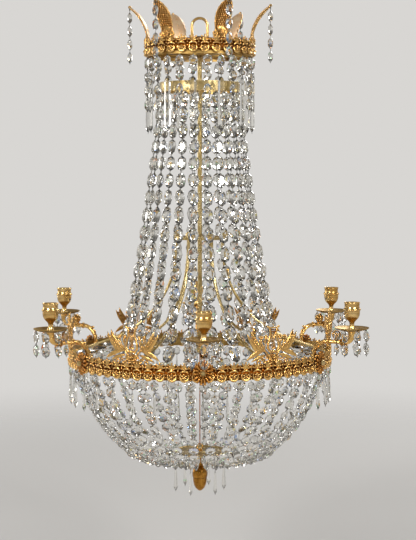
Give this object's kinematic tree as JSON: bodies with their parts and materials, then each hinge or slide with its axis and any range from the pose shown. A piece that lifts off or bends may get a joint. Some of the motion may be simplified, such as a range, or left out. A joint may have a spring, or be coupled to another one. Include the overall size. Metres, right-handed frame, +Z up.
{
  "type": "chandelier",
  "caption": "Tent and bag chandelier: a small crown and a wide ring in gilt brass, hung with cut crystal strands, with candle arms round the ring.",
  "frame": {"origin": "inside top of the hanging shackle, on the stem's axis", "axes": "+Z up along the stem; candle arms at -90 degrees from +X and every 60 degrees; -Y faces the viewer"},
  "size_m": [0.6862, 0.779, 1.0459],
  "materials": {
    "ormolu": "cast and fire gilt, burnished high points",
    "gilt_brass": "gilt, satin",
    "brass": "brushed, dull",
    "iron": "drawn wire and rod",
    "crystal": "cut and polished lead crystal"
  },
  "bodies": {
    "hanger": {"hanger_shackle": "gilt_brass", "hanger_pin": "iron"},
    "chandelier": {"corona_strings": "crystal", "corona_prisms": "crystal", "pan_drops": "crystal", "ring_spears": "crystal", "bottom_spears": "crystal", "tent_strands_1": "crystal", "tent_strands_2": "crystal", "tent_strands_3": "crystal", "basket_strands_1": "crystal", "basket_strands_2": "crystal", "basket_strands_3": "crystal", "corona_gallery": "ormolu", "corona_crest": "ormolu", "plumes": "ormolu", "plume_sockets": "ormolu", "ring_gallery": "ormolu", "ring_crest": "ormolu", "lyres": "ormolu", "lyre_wings": "ormolu", "arm_baskets": "ormolu", "acorn_nut": "ormolu", "candle_cup_1": "ormolu", "candle_cup_2": "ormolu", "candle_cup_3": "ormolu", "candle_cup_4": "ormolu", "candle_cup_5": "ormolu", "candle_cup_6": "ormolu", "corona_hoop": "gilt_brass", "corona_spider": "gilt_brass", "ring_hoop": "gilt_brass", "arm_plaques": "gilt_brass", "ring_screws": "gilt_brass", "candle_arms": "gilt_brass", "drip_pans": "gilt_brass", "bottom_plate": "gilt_brass", "pull_ring": "gilt_brass", "acorn_cap": "gilt_brass", "stem_tubes": "brass", "stem_nuts": "brass", "inner_ring": "brass", "inner_spider": "brass", "spreader": "brass", "stay_rods": "brass", "stay_nuts": "brass", "base_link": "brass", "stem_rod": "iron"},
    "drop_string_1": {"plume_hook_1": "iron", "plume_drop_1": "crystal"},
    "drop_string_2": {"plume_hook_2": "iron", "plume_drop_2": "crystal"},
    "drop_string_3": {"plume_hook_3": "iron", "plume_drop_3": "crystal"},
    "drop_string_4": {"plume_hook_4": "iron", "plume_drop_4": "crystal"},
    "drop_string_5": {"plume_hook_5": "iron", "plume_drop_5": "crystal"},
    "drop_string_6": {"plume_hook_6": "iron", "plume_drop_6": "crystal"}
  },
  "joints": [
    {"name": "hanger_swing", "type": "hinge", "parent": "hanger", "child": "chandelier", "pos_m": [0, 0, -0.042], "axis": [1, 0, 0], "range_deg": [-20, 20]},
    {"name": "drop_swing_1", "type": "hinge", "parent": "chandelier", "child": "drop_string_1", "pos_m": [0.14923, -0.02097, 0.02775], "axis": [-0.1392, -0.9903, 0], "range_deg": [-10, 30]},
    {"name": "drop_swing_2", "type": "hinge", "parent": "chandelier", "child": "drop_string_2", "pos_m": [0.09278, 0.11875, 0.02775], "axis": [0.788, -0.6157, 0], "range_deg": [-10, 30]},
    {"name": "drop_swing_3", "type": "hinge", "parent": "chandelier", "child": "drop_string_3", "pos_m": [-0.05645, 0.13973, 0.02775], "axis": [0.9272, 0.3746, 0], "range_deg": [-10, 30]},
    {"name": "drop_swing_4", "type": "hinge", "parent": "chandelier", "child": "drop_string_4", "pos_m": [-0.14923, 0.02097, 0.02775], "axis": [0.1392, 0.9903, 0], "range_deg": [-10, 30]},
    {"name": "drop_swing_5", "type": "hinge", "parent": "chandelier", "child": "drop_string_5", "pos_m": [-0.09278, -0.11875, 0.02775], "axis": [-0.788, 0.6157, 0], "range_deg": [-10, 30]},
    {"name": "drop_swing_6", "type": "hinge", "parent": "chandelier", "child": "drop_string_6", "pos_m": [0.05645, -0.13973, 0.02775], "axis": [-0.9272, -0.3746, 0], "range_deg": [-10, 30]}
  ]
}
